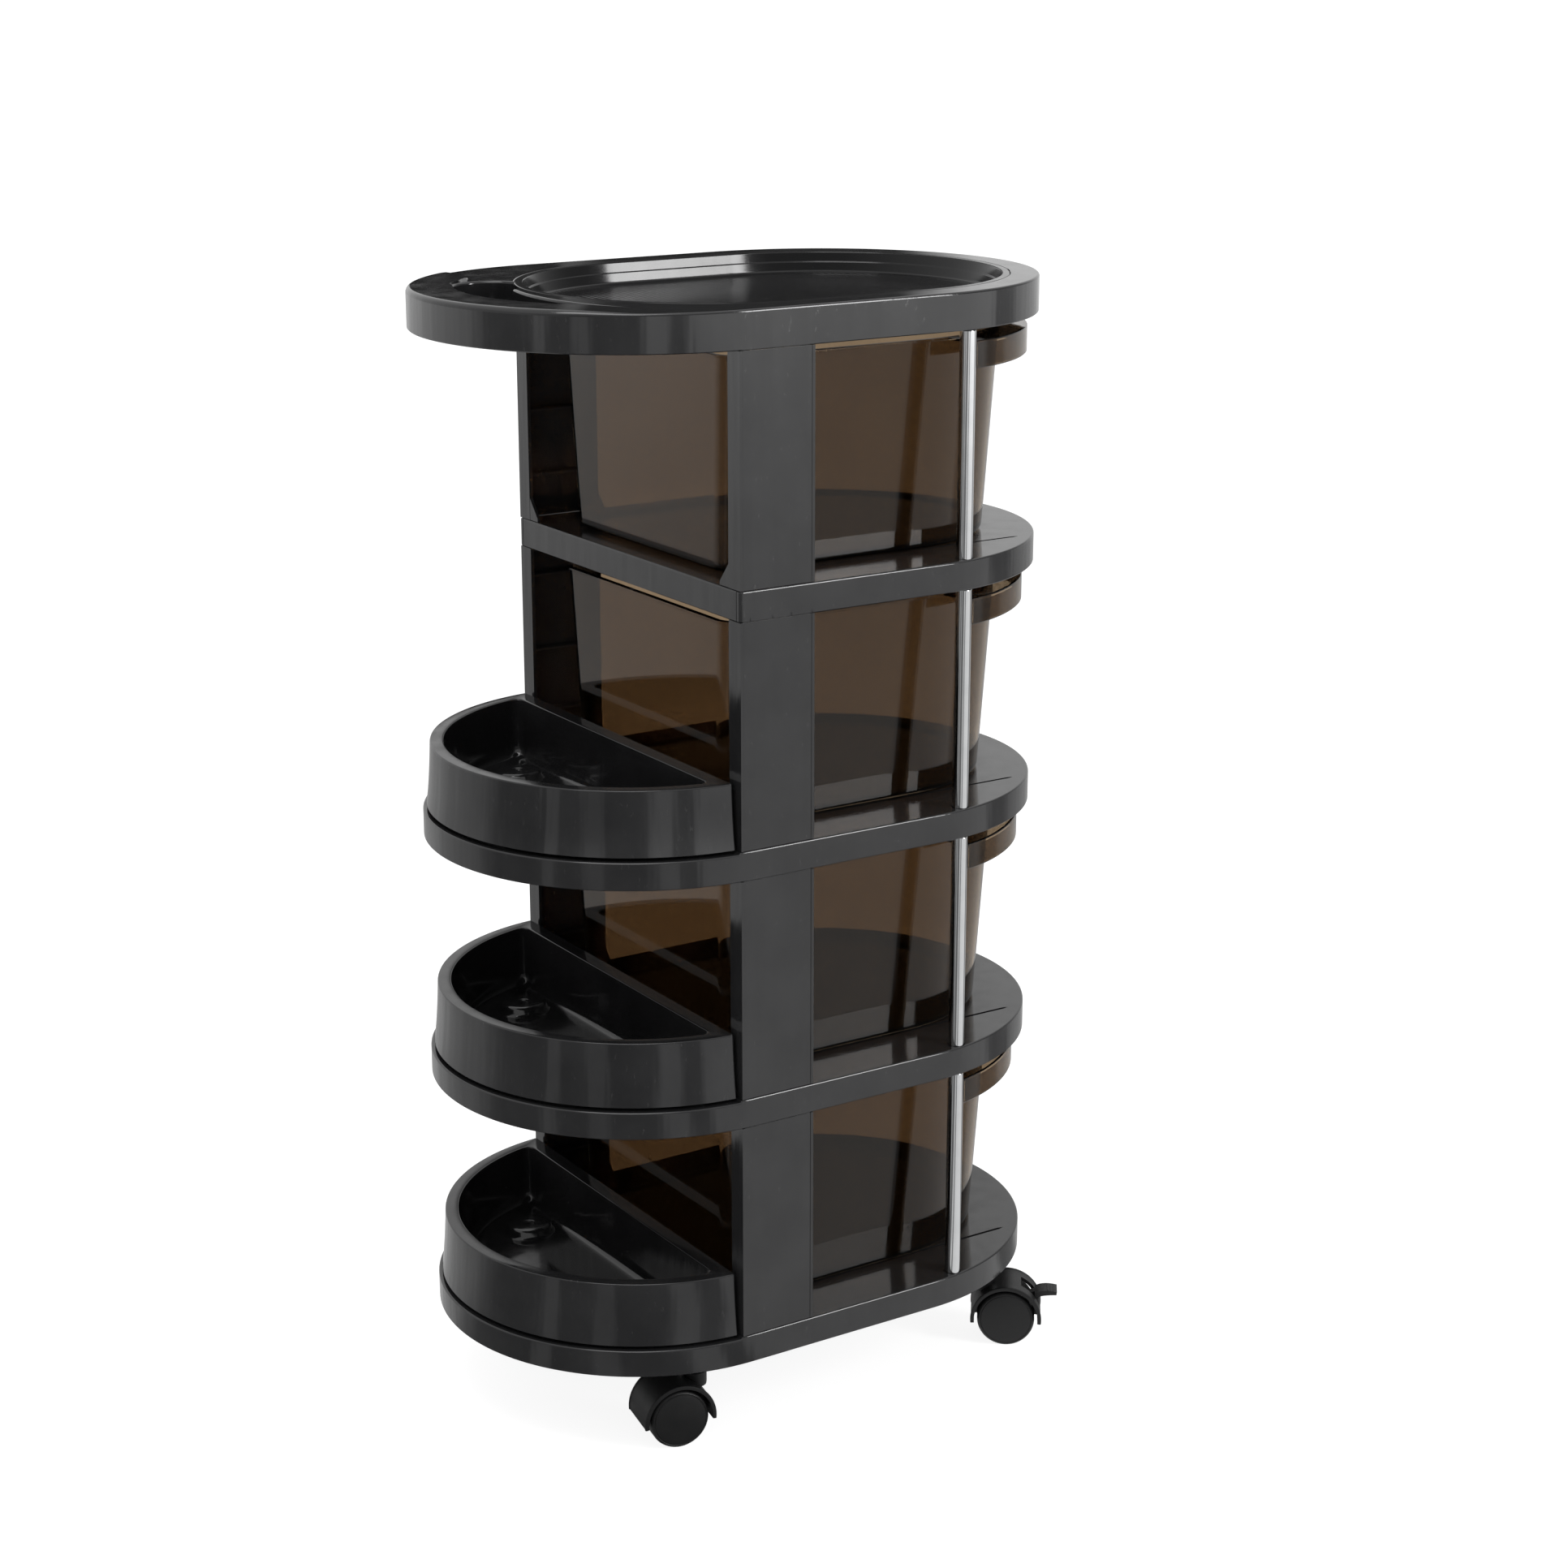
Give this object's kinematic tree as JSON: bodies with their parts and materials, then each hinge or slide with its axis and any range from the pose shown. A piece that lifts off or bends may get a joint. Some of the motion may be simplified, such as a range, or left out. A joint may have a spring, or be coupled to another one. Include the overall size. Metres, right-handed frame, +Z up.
{
  "type": "rolling salon trolley",
  "caption": "Rolling salon trolley: tinted drawers between oval shelves, a tray top with a pocket, D-shaped side bins, and hooded twin-wheel casters.",
  "frame": {"origin": "on the floor, under the middle of the plan", "axes": "+X towards the drawer fronts, +Y towards the left long side, +Z up"},
  "size_m": [0.53, 0.35, 0.928],
  "materials": {
    "black_plastic": "satin-gloss moulded black, with faint flow marks and scuffs",
    "tray_black": "glossy near-black",
    "smoke_plastic": "clear brown smoke, glossy",
    "chrome": "polished",
    "caster_plastic": "fine matt texture",
    "steel": "plain turned steel"
  },
  "bodies": {
    "root": {"top_cap": "black_plastic", "shelf_1": "black_plastic", "shelf_2": "black_plastic", "shelf_3": "black_plastic", "base_shelf": "black_plastic", "pillar_1_right": "black_plastic", "tube_1_right": "chrome", "pillar_1_left": "black_plastic", "tube_1_left": "chrome", "pillar_2_right": "black_plastic", "tube_2_right": "chrome", "pillar_2_left": "black_plastic", "tube_2_left": "chrome", "pillar_3_right": "black_plastic", "tube_3_right": "chrome", "pillar_3_left": "black_plastic", "tube_3_left": "chrome", "pillar_4_right": "black_plastic", "tube_4_right": "chrome", "pillar_4_left": "black_plastic", "tube_4_left": "chrome", "caster_stem_right_rear": "chrome", "caster_stem_left_rear": "chrome", "caster_stem_right_front": "chrome", "caster_stem_left_front": "chrome"},
    "tray": {"tray_insert": "tray_black"},
    "drawer_1": {"drawer_1": "smoke_plastic"},
    "drawer_2": {"drawer_2": "smoke_plastic"},
    "drawer_3": {"drawer_3": "smoke_plastic"},
    "drawer_4": {"drawer_4": "smoke_plastic"},
    "bin_2": {"side_bin_2": "black_plastic"},
    "bin_3": {"side_bin_3": "black_plastic"},
    "bin_4": {"side_bin_4": "black_plastic"},
    "caster_right_rear": {"caster_hood_right_rear": "caster_plastic", "caster_axle_right_rear": "steel"},
    "wheel_right_rear_a": {"caster_wheel_right_rear_a": "caster_plastic"},
    "wheel_right_rear_b": {"caster_wheel_right_rear_b": "caster_plastic"},
    "caster_left_rear": {"caster_hood_left_rear": "caster_plastic", "caster_axle_left_rear": "steel"},
    "wheel_left_rear_a": {"caster_wheel_left_rear_a": "caster_plastic"},
    "wheel_left_rear_b": {"caster_wheel_left_rear_b": "caster_plastic"},
    "caster_right_front": {"caster_hood_right_front": "caster_plastic", "caster_axle_right_front": "steel"},
    "wheel_right_front_a": {"caster_wheel_right_front_a": "caster_plastic"},
    "wheel_right_front_b": {"caster_wheel_right_front_b": "caster_plastic"},
    "brake_right_front": {"brake_lever_right_front": "caster_plastic"},
    "caster_left_front": {"caster_hood_left_front": "caster_plastic", "caster_axle_left_front": "steel"},
    "wheel_left_front_a": {"caster_wheel_left_front_a": "caster_plastic"},
    "wheel_left_front_b": {"caster_wheel_left_front_b": "caster_plastic"},
    "brake_left_front": {"brake_lever_left_front": "caster_plastic"}
  },
  "joints": [
    {"name": "tray_lift", "type": "slide", "parent": "root", "child": "tray", "axis": [0, 0, 1], "range_m": [0, 0.06]},
    {"name": "drawer_1_slide", "type": "slide", "parent": "root", "child": "drawer_1", "axis": [1, 0, 0], "range_m": [0, 0.255]},
    {"name": "drawer_2_slide", "type": "slide", "parent": "root", "child": "drawer_2", "axis": [1, 0, 0], "range_m": [0, 0.255]},
    {"name": "drawer_3_slide", "type": "slide", "parent": "root", "child": "drawer_3", "axis": [1, 0, 0], "range_m": [0, 0.255]},
    {"name": "drawer_4_slide", "type": "slide", "parent": "root", "child": "drawer_4", "axis": [1, 0, 0], "range_m": [0, 0.255]},
    {"name": "bin_2_lift", "type": "slide", "parent": "root", "child": "bin_2", "axis": [0, 0, 1], "range_m": [0, 0.06]},
    {"name": "bin_3_lift", "type": "slide", "parent": "root", "child": "bin_3", "axis": [0, 0, 1], "range_m": [0, 0.06]},
    {"name": "bin_4_lift", "type": "slide", "parent": "root", "child": "bin_4", "axis": [0, 0, 1], "range_m": [0, 0.06]},
    {"name": "swivel_right_rear", "type": "hinge", "parent": "root", "child": "caster_right_rear", "pos_m": [-0.119, -0.13, 0.05], "axis": [0, 0, 1], "continuous": true},
    {"name": "roll_right_rear_a", "type": "hinge", "parent": "caster_right_rear", "child": "wheel_right_rear_a", "pos_m": [-0.13863, -0.12618, 0.025], "axis": [-0.1908, -0.9816, 0], "continuous": true},
    {"name": "roll_right_rear_b", "type": "hinge", "parent": "caster_right_rear", "child": "wheel_right_rear_b", "pos_m": [-0.13863, -0.12618, 0.025], "axis": [-0.1908, -0.9816, 0], "continuous": true},
    {"name": "swivel_left_rear", "type": "hinge", "parent": "root", "child": "caster_left_rear", "pos_m": [-0.119, 0.13, 0.05], "axis": [0, 0, 1], "continuous": true},
    {"name": "roll_left_rear_a", "type": "hinge", "parent": "caster_left_rear", "child": "wheel_left_rear_a", "pos_m": [-0.13779, 0.12316, 0.025], "axis": [0.342, -0.9397, 0], "continuous": true},
    {"name": "roll_left_rear_b", "type": "hinge", "parent": "caster_left_rear", "child": "wheel_left_rear_b", "pos_m": [-0.13779, 0.12316, 0.025], "axis": [0.342, -0.9397, 0], "continuous": true},
    {"name": "swivel_right_front", "type": "hinge", "parent": "root", "child": "caster_right_front", "pos_m": [0.186, -0.115, 0.05], "axis": [0, 0, 1], "continuous": true},
    {"name": "roll_right_front_a", "type": "hinge", "parent": "caster_right_front", "child": "wheel_right_front_a", "pos_m": [0.20197, -0.12704, 0.025], "axis": [0.6018, 0.7986, 0], "continuous": true},
    {"name": "roll_right_front_b", "type": "hinge", "parent": "caster_right_front", "child": "wheel_right_front_b", "pos_m": [0.20197, -0.12704, 0.025], "axis": [0.6018, 0.7986, 0], "continuous": true},
    {"name": "brake_right_front_press", "type": "hinge", "parent": "caster_right_front", "child": "brake_right_front", "pos_m": [0.21635, -0.13787, 0.04], "axis": [0.6018, 0.7986, 0], "range_deg": [0, 10]},
    {"name": "swivel_left_front", "type": "hinge", "parent": "root", "child": "caster_left_front", "pos_m": [0.186, 0.115, 0.05], "axis": [0, 0, 1], "continuous": true},
    {"name": "roll_left_front_a", "type": "hinge", "parent": "caster_left_front", "child": "wheel_left_front_a", "pos_m": [0.20454, 0.12249, 0.025], "axis": [-0.3746, 0.9272, 0], "continuous": true},
    {"name": "roll_left_front_b", "type": "hinge", "parent": "caster_left_front", "child": "wheel_left_front_b", "pos_m": [0.20454, 0.12249, 0.025], "axis": [-0.3746, 0.9272, 0], "continuous": true},
    {"name": "brake_left_front_press", "type": "hinge", "parent": "caster_left_front", "child": "brake_left_front", "pos_m": [0.22123, 0.12923, 0.04], "axis": [-0.3746, 0.9272, 0], "range_deg": [0, 10]}
  ]
}
